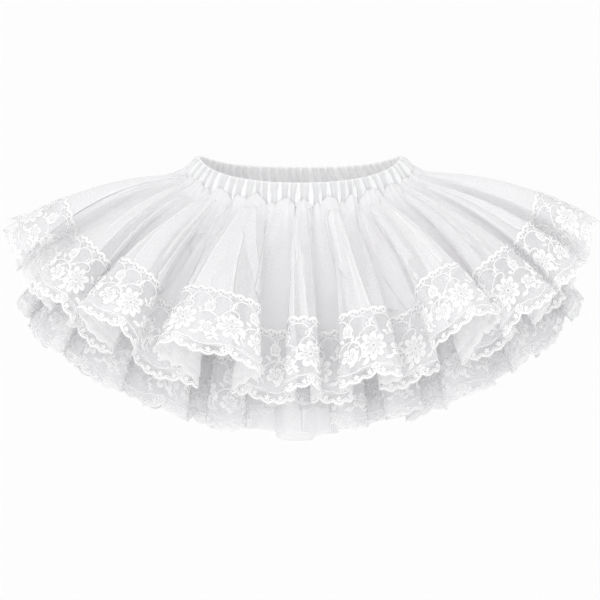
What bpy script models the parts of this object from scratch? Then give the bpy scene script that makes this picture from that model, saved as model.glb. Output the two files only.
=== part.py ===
# A toddler's ballet tutu skirt: a gathered elastic waistband, an outer tulle layer with a wide lace
# trim, a longer tulle layer below it with the same trim, and a plain inner tulle layer.
#
# Metres, +Z up, the front towards -Y. The origin is the centre of the waist opening, halfway between
# its high sides and its low back. Directions round the waist are in degrees: 0 is +X,
# 90 the back, 180 the other side and 270 the front. Each piece is a ring of cloth: a grid of points
# with a column for each direction and a row for each distance down the cloth.
import math
from collections import namedtuple

import bmesh
import bpy
import numpy as np

# The waist's top edge is an ellipse whose front and back sag below its sides.
WAIST_HALF_WIDTH = 0.102
WAIST_HALF_DEPTH = 0.067
WAIST_SIDE_HEIGHT = 0.010
WAIST_FRONT_DIP = 0.0166
WAIST_BACK_DIP = 0.0200

# A value that changes round the garment: one at the sides and one at the front and back.
Round = namedtuple("Round", "side front")

# The waistband is a casing over elastic. It flares outwards to the seam.
BAND_HEIGHT = Round(side=0.0210, front=0.0245)
BAND_SLOPE = Round(side=48.0, front=68.0)
BAND_GATHERS = 60
BAND_COLUMNS_PER_GATHER = 4
BAND_HALF_THICKNESS = 0.0017
BAND_GATHER_OUTSIDE = 0.0011
BAND_GATHER_INSIDE = 0.0007
BAND_EDGE_ROUNDING = 0.16       # as a share of its height

# The cloth walls and the gaps that part the pieces.
SEAM_GAP = 0.0003
TULLE_HALF_THICKNESS = 0.0006
LACE_THICKNESS = 0.0010
SKIRT_START = 0.0010
MITRE_LIMIT = 0.6               # a fold's edge makes a normal at most 1 / 0.6 long

# Where the skirt leaves the band, the outer tulle puffs into a head on each fold's crest and a small
# one in each valley, which fade down the cloth.
SMALL_HEAD = 0.4                # against the head on the crest
HEAD_AT_SEAM = 0.0008
HEAD_HEIGHT = 0.0022
HEAD_PEAK = 0.012
HEAD_FADE = 0.085

# A row for each fold, in degrees and metres:
# crest, valley: the directions of the fold's crest and of the valley after it
# start, lift: how much less steeply than its layer the cloth hangs there, at the seam and the hem
# rise: how much shorter the cloth hangs there
# curl: how far the fold's side leans over the valley at the hem, as a share of twice the half fold
Fold = namedtuple("Fold", "crest start lift rise valley valley_lift valley_rise curl")
OUTER_FOLDS = [
    Fold(4.0, -5, 24, 0.007, 12.0, 4, 0.000, 0.22),
    Fold(20.0, 3, 11, 0.002, 28.0, 3, 0.000, 0.22),
    Fold(36.0, 6, 14, 0.004, 44.0, 4, 0.000, 0.24),
    Fold(53.0, 15, 22, 0.006, 61.0, 4, 0.000, 0.24),
    Fold(69.0, 11, 10, 0.000, 76.5, 2, 0.000, 0.22),
    Fold(84.0, 13, 16, 0.003, 90.5, 3, 0.000, 0.24),
    Fold(97.0, 9, 6, 0.000, 104.0, 2, 0.000, 0.22),
    Fold(112.0, 15, 20, 0.004, 120.0, 4, 0.000, 0.24),
    Fold(128.0, 10, 8, 0.000, 135.0, 2, 0.000, 0.22),
    Fold(143.0, 6, 14, 0.003, 151.0, 3, 0.000, 0.22),
    Fold(160.0, 2, 11, 0.000, 168.0, 3, 0.000, 0.22),
    Fold(176.0, -5, 24, 0.007, 186.0, 2, 0.002, 0.22),
    Fold(196.0, 17, 6, 0.004, 204.0, 2, 0.002, 0.22),
    Fold(214.0, 10, 5, 0.000, 223.0, 3, 0.000, 0.24),
    Fold(232.0, 15, 19, 0.002, 240.5, 5, 0.000, 0.23),
    Fold(252.5, 17, 25, 0.004, 266.0, 3, 0.000, 0.24),
    Fold(270.5, 9, 6, 0.001, 275.5, 1, -0.002, 0.22),
    Fold(284.0, 10, 9, 0.002, 292.5, 6, 0.002, 0.22),
    Fold(301.0, 18, 27, 0.004, 309.5, 8, 0.000, 0.24),
    Fold(321.0, 10, 8, 0.000, 329.0, 4, 0.000, 0.24),
    Fold(336.0, 10, 4, 0.000, 342.0, 3, 0.002, 0.22),
    Fold(349.0, 17, 8, 0.004, 356.5, 3, 0.002, 0.22),
]
UNDER_FOLDS = [
    Fold(0.0, 7, 8, 0.004, 10.0, 2, 0.000, 0.20),
    Fold(19.0, 8, 10, 0.006, 28.0, 2, 0.000, 0.20),
    Fold(37.0, 7, 7, 0.000, 46.0, 2, 0.003, 0.20),
    Fold(55.0, 8, 10, 0.004, 64.0, 2, 0.000, 0.20),
    Fold(73.0, 7, 8, 0.006, 81.0, 2, 0.000, 0.20),
    Fold(89.0, 8, 10, 0.000, 97.0, 2, 0.003, 0.20),
    Fold(105.0, 7, 7, 0.005, 113.0, 2, 0.000, 0.20),
    Fold(122.0, 8, 10, 0.000, 131.0, 2, 0.004, 0.20),
    Fold(141.0, 7, 8, 0.005, 151.0, 2, 0.000, 0.20),
    Fold(162.0, 8, 10, 0.003, 173.0, 2, 0.000, 0.20),
    Fold(184.0, 7, 7, 0.004, 194.0, 2, 0.000, 0.20),
    Fold(204.0, 7, 9, 0.002, 213.0, 2, 0.006, 0.20),
    Fold(222.0, 8, 10, 0.000, 230.0, 2, 0.006, 0.20),
    Fold(238.0, 7, 8, 0.000, 245.0, 2, 0.000, 0.20),
    Fold(252.0, 7, 7, -0.002, 259.0, 2, 0.020, 0.20),
    Fold(267.0, 6, 5, 0.028, 275.0, 2, 0.024, 0.20),
    Fold(282.0, 7, 9, 0.002, 288.0, 2, 0.009, 0.20),
    Fold(295.0, 7, 7, 0.007, 302.0, 2, 0.002, 0.20),
    Fold(310.0, 8, 10, 0.002, 319.0, 2, 0.008, 0.20),
    Fold(329.0, 7, 8, 0.004, 341.0, 2, 0.006, 0.20),
]

# The plain layer's folds are alike. It shows longest at the middle of the front.
INNER_FOLD_COUNT = 22
INNER_FOLD_PITCH = 360.0 / INNER_FOLD_COUNT
INNER_LONGEST_AT = 268.0
INNER_RISE_AWAY = 0.014
INNER_LONG_SPREAD = 14.0


def inner_rise(direction):
    """How much shorter the plain layer hangs away from the middle of the front."""
    away = (direction - INNER_LONGEST_AT) / INNER_LONG_SPREAD
    return INNER_RISE_AWAY * (1.0 - math.exp(-away * away))


INNER_FOLDS = [
    Fold(crest, 4, 6, inner_rise(crest), crest + INNER_FOLD_PITCH / 2.0, -1,
         inner_rise(crest) + 0.002, 0.20)
    for crest in (INNER_FOLD_PITCH * (index + 0.4) for index in range(INNER_FOLD_COUNT))
]

# A layer of the skirt:
# length: of its cloth, from the seam to the hem
# begin, end: how steeply it leaves the seam and hangs at the hem, in degrees below level
# valley_start: what start is for the folds' crests, for all of its valleys
# inset: how far inside the outer layer it is sewn
# rows: its rows of points, as shares of its length
# lace_row, hem_row: the first row of its lace trim and of its folded hem, or None
# columns: for each fold
# heads: 1 with small heads of cloth at the seam, 0 without
Layer = namedtuple(
    "Layer", "folds length begin end valley_start inset rows lace_row hem_row columns heads")
LACE_WIDTH = 0.073
HEM_HALF_THICKNESS = 0.0010
CREST_FLATNESS = 0.04
OUTER_LENGTH = 0.199
OUTER_LACE_TOP = 1.0 - LACE_WIDTH / OUTER_LENGTH
OUTER = Layer(
    folds=OUTER_FOLDS,
    length=OUTER_LENGTH,
    begin=Round(side=10.0, front=40.0),
    end=Round(side=40.0, front=82.0),
    valley_start=-9.0,
    inset=0.0,
    rows=[0.0, 0.055, 0.17, 0.40, OUTER_LACE_TOP, 0.82, 1.0],
    lace_row=4,
    hem_row=None,
    columns=8,
    heads=1.0,
)
UNDER_LENGTH = 0.225
UNDER_LACE_TOP = 1.0 - LACE_WIDTH / UNDER_LENGTH
UNDER = Layer(
    folds=UNDER_FOLDS,
    length=UNDER_LENGTH,
    begin=Round(side=30.0, front=62.0),
    end=Round(side=57.0, front=92.0),
    valley_start=-4.0,
    inset=0.0037,
    rows=[0.0, 0.12, 0.40, UNDER_LACE_TOP, 1.0],
    lace_row=3,
    hem_row=None,
    columns=6,
    heads=0.0,
)
INNER = Layer(
    folds=INNER_FOLDS,
    length=0.231,
    begin=Round(side=42.0, front=70.0),
    end=Round(side=74.0, front=100.0),
    valley_start=-2.5,
    inset=0.0066,
    rows=[0.0, 0.13, 0.40, 0.955, 0.965, 1.0],
    lace_row=None,
    hem_row=4,
    columns=6,
    heads=0.0,
)

Look = namedtuple("Look", "colour roughness")
BAND_LOOK = Look((0.90, 0.90, 0.91), 0.75)
TULLE_LOOK = Look((0.84, 0.85, 0.87), 0.60)
UNDER_LOOK = Look((0.78, 0.79, 0.81), 0.60)
LACE_LOOK = Look((0.95, 0.95, 0.95), 0.70)


def blend(around, direction):
    """The value in this direction of something that differs at the sides and the front and back."""
    return around.side + (around.front - around.side) * np.sin(direction) ** 2


def waist_point(direction, out, down):
    """Points set out level from the waist's top edge, square to it, and then down."""
    across = WAIST_HALF_WIDTH * np.cos(direction)
    along = WAIST_HALF_DEPTH * np.sin(direction)
    reach = np.hypot(across, along)
    x = WAIST_HALF_WIDTH * across / reach + out * np.cos(direction)
    y = WAIST_HALF_DEPTH * along / reach + out * np.sin(direction)
    backward = (1.0 + np.sin(direction)) / 2.0
    dip = WAIST_FRONT_DIP + (WAIST_BACK_DIP - WAIST_FRONT_DIP) * backward
    z = WAIST_SIDE_HEIGHT - dip * np.sin(direction) ** 2 - down
    return np.stack([x, y, z], axis=-1)


def even_directions(count):
    """Directions that share the waist's top edge into equal lengths."""
    fine = np.linspace(0.0, 2.0 * math.pi, 2001)
    edge = waist_point(fine, 0.0, 0.0)
    steps = np.linalg.norm(np.diff(edge, axis=0), axis=1)
    lengths = np.concatenate([[0.0], np.cumsum(steps)])
    return np.interp(np.arange(count) / count * lengths[-1], lengths, fine)


def band_offset(height, past, direction):
    """How far out and down the cloth is, at a share of the band's height and then past it."""
    distance = height * blend(BAND_HEIGHT, direction) + past
    slope = np.radians(blend(BAND_SLOPE, direction))
    return distance * np.cos(slope), distance * np.sin(slope)


def unit(vectors):
    """The same directions, one long."""
    return vectors / np.linalg.norm(vectors, axis=2, keepdims=True)


def grid_normals(grid):
    """Normals of a grid of points that closes round its columns, facing up and outwards.

    They are one long where the cloth is flat and longer at a fold's edge, as in a mitre, so that a
    wall between two offsets keeps its thickness there.
    """
    after = unit(np.roll(grid, -1, axis=1) - grid)
    around = (after + np.roll(after, 1, axis=1)) / 2.0
    straightness = np.linalg.norm(around, axis=2, keepdims=True)
    down = np.gradient(grid, axis=0)
    return unit(np.cross(down, around)) / np.maximum(straightness, MITRE_LIMIT)


def layer_grid(layer):
    """The points of a layer's middle, a row for each distance down and a column for each direction."""
    columns = []
    for index, fold in enumerate(layer.folds):
        before = layer.folds[index - 1]
        first = before.valley - (360.0 if index == 0 else 0.0)
        for step in range(layer.columns):
            phase = 2.0 * step / layer.columns - 1.0
            side = before if phase < 0.0 else fold
            half = fold.crest - first if phase < 0.0 else fold.valley - fold.crest
            columns.append((phase * math.pi, fold.crest + half * phase, half, side.curl,
                            fold.start, fold.lift, fold.rise, side.valley_lift, side.valley_rise))
    phase, at, half, curl, start, lift, rise, valley_lift, valley_rise = np.array(columns).T
    crest = ((np.cos(phase) + CREST_FLATNESS * np.cos(3.0 * phase)) / (1.0 + CREST_FLATNESS) + 1.0) / 2.0
    start = layer.valley_start + (start - layer.valley_start) * crest
    lift = valley_lift + (lift - valley_lift) * crest
    rise = valley_rise + (rise - valley_rise) * crest
    share = np.array(layer.rows)[:, None]
    distance = (layer.length - rise) * share
    direction = np.radians(at + 2.0 * curl * half * np.sin(2.0 * phase) * np.sqrt(share))
    out, down = hang(layer, direction, distance, start, lift)
    grid = waist_point(direction, out, down)
    large = (1.0 + SMALL_HEAD + (1.0 - SMALL_HEAD) * np.cos(phase)) / 2.0
    head = layer.heads * head_height(distance) * large * np.cos(2.0 * phase)
    return grid + grid_normals(grid) * head[..., None]


def hang(layer, direction, distance, start, lift, steps=16):
    """How far out and down the cloth gets, steepening from its begin slope to its end slope."""
    out, down = band_offset(1.0, SKIRT_START, direction)
    seam_slope = np.radians(blend(BAND_SLOPE, direction))
    out = out - layer.inset * np.sin(seam_slope)
    down = down + layer.inset * np.cos(seam_slope)
    step = distance / steps
    for index in range(steps):
        share = (index + 0.5) * step / layer.length
        begin = blend(layer.begin, direction) - start
        end = blend(layer.end, direction) - lift
        slope = np.radians(begin + (end - begin) * share)
        out = out + step * np.cos(slope)
        down = down + step * np.sin(slope)
    return out, down


def head_height(distance):
    """The height of the small heads of cloth this far below the seam."""
    rising = HEAD_AT_SEAM + (HEAD_HEIGHT - HEAD_AT_SEAM) * distance / HEAD_PEAK
    falling = HEAD_HEIGHT * (1.0 - (distance - HEAD_PEAK) / HEAD_FADE)
    return np.clip(np.minimum(rising, falling), 0.0, None)


def material(name, look):
    made = bpy.data.materials.new(name)
    made.use_nodes = True
    shader = made.node_tree.nodes["Principled BSDF"]
    shader.inputs["Base Color"].default_value = (*look.colour, 1.0)
    shader.inputs["Roughness"].default_value = look.roughness
    shader.inputs["Metallic"].default_value = 0.0
    return made


def strip(mesh, upper, lower, facing_out):
    """Two triangles for each column between two rings, cut along the same diagonal on both faces."""
    for index, corner in enumerate(upper):
        for face in ((corner, upper[index - 1], lower[index]),
                     (lower[index], upper[index - 1], lower[index - 1])):
            mesh.faces.new(face if facing_out else face[::-1])


def cloth_ring(name, outer_rows, inner_rows, look):
    """A closed wall from the rows of its outer and inner faces, joined at the top and the hem."""
    mesh = bmesh.new()
    outer = [[mesh.verts.new(point) for point in row] for row in outer_rows]
    inner = [[mesh.verts.new(point) for point in row] for row in inner_rows]
    for upper, lower in zip(outer, outer[1:] + inner[-1:]):
        strip(mesh, upper, lower, True)
    for upper, lower in zip(outer[:1] + inner, inner):
        strip(mesh, upper, lower, False)
    data = bpy.data.meshes.new(name)
    mesh.to_mesh(data)
    mesh.free()
    data.shade_smooth()
    data.set_sharp_from_angle(angle=math.radians(60.0))
    data.materials.append(material(name, look))
    piece = bpy.data.objects.new(name, data)
    bpy.context.collection.objects.link(piece)


def cloth_wall(name, grid, normals, inside, outside, look):
    """A cloth ring between two offsets from its points; an offset may differ from row to row."""
    inner = grid + normals * np.reshape(inside, (-1, 1, 1))
    outer = grid + normals * np.reshape(outside, (-1, 1, 1))
    cloth_ring(name, list(outer), list(inner), look)


def waistband():
    count = BAND_GATHERS * BAND_COLUMNS_PER_GATHER
    direction = even_directions(count)
    gather = np.cos(2.0 * math.pi * np.arange(count) / BAND_COLUMNS_PER_GATHER)
    heights = [0.0, BAND_EDGE_ROUNDING, 1.0 - BAND_EDGE_ROUNDING, 1.0]
    middle = np.array([waist_point(direction, *band_offset(height, 0.0, direction)) for height in heights])
    normals = grid_normals(middle)
    outer = middle + normals * (BAND_HALF_THICKNESS + BAND_GATHER_OUTSIDE * gather)[:, None]
    inner = middle - normals * (BAND_HALF_THICKNESS + BAND_GATHER_INSIDE * gather)[:, None]
    outer_rows = [middle[0], outer[1], outer[2], middle[3]]
    cloth_ring("waistband", outer_rows, [inner[1], inner[2]], BAND_LOOK)


def skirt_layer(name, layer, look, lace_name=None):
    grid = layer_grid(layer)
    normals = grid_normals(grid)
    half = np.full(len(layer.rows), TULLE_HALF_THICKNESS)
    if layer.hem_row:
        half[layer.hem_row:] = HEM_HALF_THICKNESS
    cloth_wall(name, grid, normals, -half, half, look)
    if lace_name:
        trim = grid[layer.lace_row:]
        near = TULLE_HALF_THICKNESS + SEAM_GAP
        rows = np.ones(len(trim))
        cloth_wall(lace_name, trim, normals[layer.lace_row:], rows * near,
                   rows * (near + LACE_THICKNESS), LACE_LOOK)


def build():
    for old in list(bpy.data.objects):
        bpy.data.objects.remove(old)
    waistband()
    skirt_layer("outer_tulle", OUTER, TULLE_LOOK, "outer_lace")
    skirt_layer("under_tulle", UNDER, UNDER_LOOK, "under_lace")
    skirt_layer("inner_tulle", INNER, UNDER_LOOK)


build()
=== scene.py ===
import math

import bpy
import numpy as np
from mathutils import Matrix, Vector


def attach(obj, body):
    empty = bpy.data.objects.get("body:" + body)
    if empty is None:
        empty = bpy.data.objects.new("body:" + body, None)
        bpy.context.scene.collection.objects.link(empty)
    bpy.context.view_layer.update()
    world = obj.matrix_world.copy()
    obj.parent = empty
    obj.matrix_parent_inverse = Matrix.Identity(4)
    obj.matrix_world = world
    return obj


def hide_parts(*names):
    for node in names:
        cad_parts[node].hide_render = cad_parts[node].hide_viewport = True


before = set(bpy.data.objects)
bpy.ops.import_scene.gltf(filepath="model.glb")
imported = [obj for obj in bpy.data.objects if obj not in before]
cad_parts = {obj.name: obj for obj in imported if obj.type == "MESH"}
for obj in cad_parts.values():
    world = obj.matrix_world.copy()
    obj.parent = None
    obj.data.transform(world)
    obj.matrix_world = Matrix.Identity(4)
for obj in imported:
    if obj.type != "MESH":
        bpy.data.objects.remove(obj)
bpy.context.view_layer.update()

# A toddler's tutu skirt, dressed over its solids. Metres, +Z up, the front towards -Y.
# Directions round the waist are in degrees from +X, and 90 is the back.
mm = 0.001

# how the cloth hangs: the same named sizes and rules as the solids have
waist = {
    "halfWidth": 0.102, "halfDepth": 0.067,
    "sideHeight": 0.01, "frontDip": 0.0166, "backDip": 0.02,
}
band = {
    "height": (0.021, 0.0245),  # at the sides, and at the front and back
    "slope": (48, 68),  # degrees below level, likewise
    "halfThickness": 0.0017,
    "gathers": 60,
    "gatherOutside": 0.0033,
    "gatherInside": 0.003,
    "columnsPerGather": 14,
    "rowsOutside": 18,
    "rowsInside": 13,
    "skirtStart": 0.001,
}

# directions and slopes in degrees, and rises in mm
foldNames = ("crest", "start", "lift", "rise", "valley", "valleyLift", "valleyRise", "curl")
outerFolds = [
    (4, -5, 24, 7, 12, 4, 0, 0.22), (20, 3, 11, 2, 28, 3, 0, 0.22), (36, 6, 14, 4, 44, 4, 0, 0.24),
    (53, 15, 22, 6, 61, 4, 0, 0.24), (69, 11, 10, 0, 76.5, 2, 0, 0.22),
    (84, 13, 16, 3, 90.5, 3, 0, 0.24), (97, 9, 6, 0, 104, 2, 0, 0.22),
    (112, 15, 20, 4, 120, 4, 0, 0.24), (128, 10, 8, 0, 135, 2, 0, 0.22),
    (143, 6, 14, 3, 151, 3, 0, 0.22), (160, 2, 11, 0, 168, 3, 0, 0.22),
    (176, -5, 24, 7, 186, 2, 2, 0.22), (196, 17, 6, 4, 204, 2, 2, 0.22),
    (214, 10, 5, 0, 223, 3, 0, 0.24), (232, 15, 19, 2, 240.5, 5, 0, 0.23),
    (252.5, 17, 25, 4, 266, 3, 0, 0.24), (270.5, 9, 6, 1, 275.5, 1, -2, 0.22),
    (284, 10, 9, 2, 292.5, 6, 2, 0.22), (301, 18, 27, 4, 309.5, 8, 0, 0.24),
    (321, 10, 8, 0, 329, 4, 0, 0.24), (336, 10, 4, 0, 342, 3, 2, 0.22),
    (349, 17, 8, 4, 356.5, 3, 2, 0.22),
]
underFolds = [
    (0, 7, 8, 4, 10, 2, 0, 0.2), (19, 8, 10, 6, 28, 2, 0, 0.2), (37, 7, 7, 0, 46, 2, 3, 0.2),
    (55, 8, 10, 4, 64, 2, 0, 0.2), (73, 7, 8, 6, 81, 2, 0, 0.2), (89, 8, 10, 0, 97, 2, 3, 0.2),
    (105, 7, 7, 5, 113, 2, 0, 0.2), (122, 8, 10, 0, 131, 2, 4, 0.2), (141, 7, 8, 5, 151, 2, 0, 0.2),
    (162, 8, 10, 3, 173, 2, 0, 0.2), (184, 7, 7, 4, 194, 2, 0, 0.2), (204, 7, 9, 2, 213, 2, 6, 0.2),
    (222, 8, 10, 0, 230, 2, 6, 0.2), (238, 7, 8, 0, 245, 2, 0, 0.2), (252, 7, 7, -2, 259, 2, 20, 0.2),
    (267, 6, 5, 28, 275, 2, 24, 0.2), (282, 7, 9, 2, 288, 2, 9, 0.2), (295, 7, 7, 7, 302, 2, 2, 0.2),
    (310, 8, 10, 2, 319, 2, 8, 0.2), (329, 7, 8, 4, 341, 2, 6, 0.2),
]

innerHem = {
    "count": 22, "firstAt": 0.4, "longestAt": 268, "riseAway": 14, "spread": 14, "turnedUp": 0.008,
}
innerPitch = 360 / innerHem["count"]


def innerRise(direction):
    away = (direction - innerHem["longestAt"]) / innerHem["spread"]
    return innerHem["riseAway"] * (1 - math.exp(-away * away))


innerFolds = [
    (crest, 4, 6, innerRise(crest), crest + innerPitch / 2, -1, innerRise(crest) + 2, 0.2)
    for crest in (innerPitch * (index + innerHem["firstAt"]) for index in range(innerHem["count"]))
]


def foldArrays(rows):
    folds = {name: np.array(values, float) for name, values in zip(foldNames, zip(*rows))}
    folds["rise"] *= mm
    folds["valleyRise"] *= mm
    return folds


outer = {
    "name": "outer_tulle", "folds": foldArrays(outerFolds), "length": 0.199,
    "begin": (10, 40), "end": (40, 82), "valleyStart": -9, "inset": 0,
    "heads": True, "gather": 0.0008, "laced": 0.07, "sheer": 0.75,
    "columns": 50, "rows": 42, "cutAbove": 0.011, "turnedUp": 0,
}
under = {
    "name": "under_tulle", "folds": foldArrays(underFolds), "length": 0.225,
    "begin": (30, 62), "end": (57, 92), "valleyStart": -4, "inset": 0.0037,
    "heads": False, "gather": 0.0006, "laced": 0.07, "sheer": 0.6,
    "columns": 48, "rows": 36, "cutAbove": 0.011, "turnedUp": 0,
}
inner = {
    "name": "inner_tulle", "folds": foldArrays(innerFolds), "length": 0.231,
    "begin": (42, 70), "end": (74, 100), "valleyStart": -2.5, "inset": 0.0066,
    "heads": False, "gather": 0.0005, "laced": 0, "sheer": 0,
    "columns": 40, "rows": 34, "cutAbove": 0, "turnedUp": innerHem["turnedUp"],
}
hang = {
    "steps": 16, "flatness": 0.04,
    "finePlaces": 80, "measuredAt": 0.6, "growthAt": (0, 0.15, 0.3, 0.6, 0.8, 1),
}


def mix(first, last, share):
    return first + (last - first) * share


def roundBlend(pair, direction):
    # the first at the sides, and the second at the front and back
    return mix(*pair, np.sin(direction) ** 2)


def waistPoint(direction, out, down):
    across = waist["halfWidth"] * np.cos(direction)
    along = waist["halfDepth"] * np.sin(direction)
    reach = np.hypot(across, along)
    x = waist["halfWidth"] * across / reach + out * np.cos(direction)
    y = waist["halfDepth"] * along / reach + out * np.sin(direction)
    backward = (1 + np.sin(direction)) / 2
    dip = mix(waist["frontDip"], waist["backDip"], backward)
    z = waist["sideHeight"] - dip * np.sin(direction) ** 2 - down
    return np.stack([x, y, z], axis=-1)


def hangPoint(layer, place, share):
    # place counts folds round the waist, and share goes from 0 at the seam to 1 at the hem
    folds, count = layer["folds"], layer["count"]
    index = np.floor(place).astype(int) % count
    before = (index - 1) % count
    phase = 2 * (place - np.floor(place)) - 1
    rising = phase < 0
    crestAt = folds["crest"][index]
    first = folds["valley"][before] - np.where(index == 0, 360, 0)
    half = np.where(rising, crestAt - first, folds["valley"][index] - crestAt)
    side = np.where(rising, before, index)
    crest = np.cos(math.pi * phase) + hang["flatness"] * np.cos(3 * math.pi * phase)
    crest = (crest / (1 + hang["flatness"]) + 1) / 2
    start = mix(layer["valleyStart"], folds["start"][index], crest)
    lift = mix(folds["valleyLift"][side], folds["lift"][index], crest)
    rise = mix(folds["valleyRise"][side], folds["rise"][index], crest)
    distance = (layer["length"] - rise) * share
    lean = 2 * folds["curl"][side] * half * np.sin(math.tau * phase) * np.sqrt(share)
    direction = np.radians(crestAt + half * phase + lean)
    seamSlope = np.radians(roundBlend(band["slope"], direction))
    length = roundBlend(band["height"], direction) + band["skirtStart"]
    out = length * np.cos(seamSlope) - layer["inset"] * np.sin(seamSlope)
    down = length * np.sin(seamSlope) + layer["inset"] * np.cos(seamSlope)
    step = distance / hang["steps"]
    begin = roundBlend(layer["begin"], direction) - start
    end = roundBlend(layer["end"], direction) - lift
    for done in range(hang["steps"]):
        along = (done + 0.5) * step / layer["length"]
        slope = np.radians(mix(begin, end, along))
        out = out + step * np.cos(slope)
        down = down + step * np.sin(slope)
    return waistPoint(direction, out, down), distance, direction


def runningLength(row):
    return np.concatenate([[0], np.cumsum(np.linalg.norm(np.diff(row, axis=0), axis=1))])


def rowLengths(layer, place, share):
    return runningLength(hangPoint(layer, place, np.full(place.shape, share))[0])


def makeRuler(layer):
    # turn counts folds as place does, but evenly along the cloth of each fold
    count = layer["count"] = len(layer["folds"]["crest"])
    fine = hang["finePlaces"]
    place = np.arange(count * fine + 1) / fine
    lengths = rowLengths(layer, place, hang["measuredAt"])
    starts = lengths[::fine]
    layer["foldLength"] = np.diff(starts)
    index = np.minimum(np.arange(len(place)) // fine, count - 1)
    layer["turns"] = index + (lengths - starts[index]) / layer["foldLength"][index]
    layer["places"] = place
    layer["growth"] = [rowLengths(layer, place, share)[-1] / lengths[-1] for share in hang["growthAt"]]


def placeOf(layer, turn):
    whole = np.floor(turn / layer["count"]) * layer["count"]
    return np.interp(turn - whole, layer["turns"], layer["places"]) + whole


def turnLength(layer, turn, share):
    # how much cloth one fold takes up, at this share of the way down
    fold = np.floor(turn).astype(int) % len(layer["foldLength"])
    return layer["foldLength"][fold] * np.interp(share, hang["growthAt"], layer["growth"])


def layerPoint(layer, turn, share):
    return hangPoint(layer, placeOf(layer, turn), share)


def unit(vectors):
    return vectors / np.maximum(np.linalg.norm(vectors, axis=-1, keepdims=True), 1e-12)


def layerNormal(layer, turn, share):
    nudge = 4e-3
    share = np.clip(share, nudge, 1)
    ahead = layerPoint(layer, turn + nudge, share)[0] - layerPoint(layer, turn - nudge, share)[0]
    lower = layerPoint(layer, turn, share + nudge)[0] - layerPoint(layer, turn, share - nudge)[0]
    return unit(np.cross(lower, ahead))


# creases: the turn of each at its upper and lower end, the shares where it starts and ends,
# and its width and height in mm, where a minus height is a trough
outerCreases = [
    (12.26, 12.3, 0.02, 0.8, 2.4, 1.2), (12.63, 12.73, 0.18, 0.67, 2.4, 1.1),
    (12.75, 12.82, 0.1, 0.54, 2, -1.1), (12.9, 12.96, 0.04, 0.9, 2.2, 1.1),
    (13.3, 13.5, 0.05, 0.6, 2.4, 1.2), (13.68, 13.69, 0.04, 0.58, 2, -1.1),
    (13.8, 13.78, 0.02, 0.92, 2.2, 1.2), (14.05, 14.42, 0.02, 0.62, 2.2, 1.1),
    (14.4, 14.4, 0.1, 0.95, 2.2, 1), (14.65, 14.6, 0.01, 0.7, 2.4, 1.2),
    (14.61, 14.56, 0.08, 0.9, 2, -1), (14.74, 14.71, 0.25, 0.95, 1.8, 1.1),
    (15.02, 14.82, 0.02, 0.42, 2, -1.3), (14.98, 14.88, 0, 0.66, 1.9, 1.2),
    (15.31, 15.33, 0.01, 0.5, 1.8, -1.2), (15.47, 15.45, 0.38, 0.85, 2.2, -0.9),
    (15.43, 15.42, 0.4, 0.95, 1.9, 1.1), (15.5, 15.49, 0.42, 0.95, 1.9, 1),
    (15.86, 15.88, 0.02, 0.9, 1.9, -1.2), (15.8, 15.82, 0.14, 0.8, 2, 1),
    (15.68, 15.74, 0.2, 0.9, 2.2, 0.9), (16.34, 16.4, 0.2, 0.9, 1.8, 1.1),
    (16.33, 16.46, 0, 0.46, 1.6, 1.2), (16.5, 16.56, 0.3, 0.95, 1.8, 0.9),
    (16.86, 16.96, 0.1, 0.5, 1.9, -1), (17.32, 17.4, 0, 0.5, 2.2, 1.2),
    (17.42, 17.5, 0.12, 0.8, 2.2, -0.9), (17.46, 17.52, 0.32, 0.9, 2, 1.1),
    (17.2, 17.24, 0.1, 0.9, 1.8, -1), (17.28, 17.3, 0.05, 0.7, 1.7, 1),
    (17.96, 18.05, 0.05, 0.48, 2, 1.2), (18.12, 18.18, 0.01, 0.42, 1.8, -1.1),
    (18.46, 18.48, 0.04, 0.8, 2, -1.3), (18.27, 18.4, 0.12, 0.8, 2.2, 1.1),
    (18.14, 18.2, 0.34, 0.9, 2, 1), (18.54, 18.53, 0.16, 0.9, 2, 1.2),
    (19.1, 18.96, 0.08, 0.5, 1.7, -1.2), (19.6, 19.48, 0.1, 0.9, 2.2, 1.2),
    (19.72, 19.66, 0.15, 0.66, 2, -1.1), (19.53, 19.42, 0.12, 0.7, 2.2, 1.1),
    (19.32, 19.3, 0.3, 0.95, 2, 1.1), (20.36, 20.34, 0.1, 0.8, 2.4, 1.2),
    (20.52, 20.53, 0.2, 0.9, 2.2, 1), (20.14, 20.22, 0.05, 0.7, 2, -1),
    (20.88, 20.8, 0.05, 0.9, 2.2, 1.1), (21.32, 21.3, 0.2, 0.9, 2.2, 1.1),
    (21.6, 21.64, 0.04, 0.8, 2.2, 1), (21.8, 21.76, 0.02, 0.66, 2, -1), (0.34, 0.28, 0, 0.9, 2.4, 1.2),
    (0.68, 0.76, 0.04, 0.8, 2.2, 1.1),
]
# what each fold has where it is out of the front's sight, with the turns as shares of that fold
backFolds = range(1, 12)
backCreases = [
    (0.18, 0.12, 0, 0.85, 2.6, 1.3), (0.4, 0.3, 0.06, 0.96, 2.2, 1),
    (0.58, 0.66, 0, 0.6, 1.9, -0.9), (0.8, 0.88, 0.02, 0.95, 2.6, 1.3),
]
underCreases = [
    (0.2, 0.14, 0, 0.9, 2.8, 1.2), (0.47, 0.4, 0.1, 0.98, 2.4, 1),
    (0.76, 0.84, 0.02, 0.94, 2.8, 1.3),
]
innerCreases = [(0.3, 0.26, 0, 0.98, 3, 1), (0.72, 0.76, 0, 0.98, 3, 1)]


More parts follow.
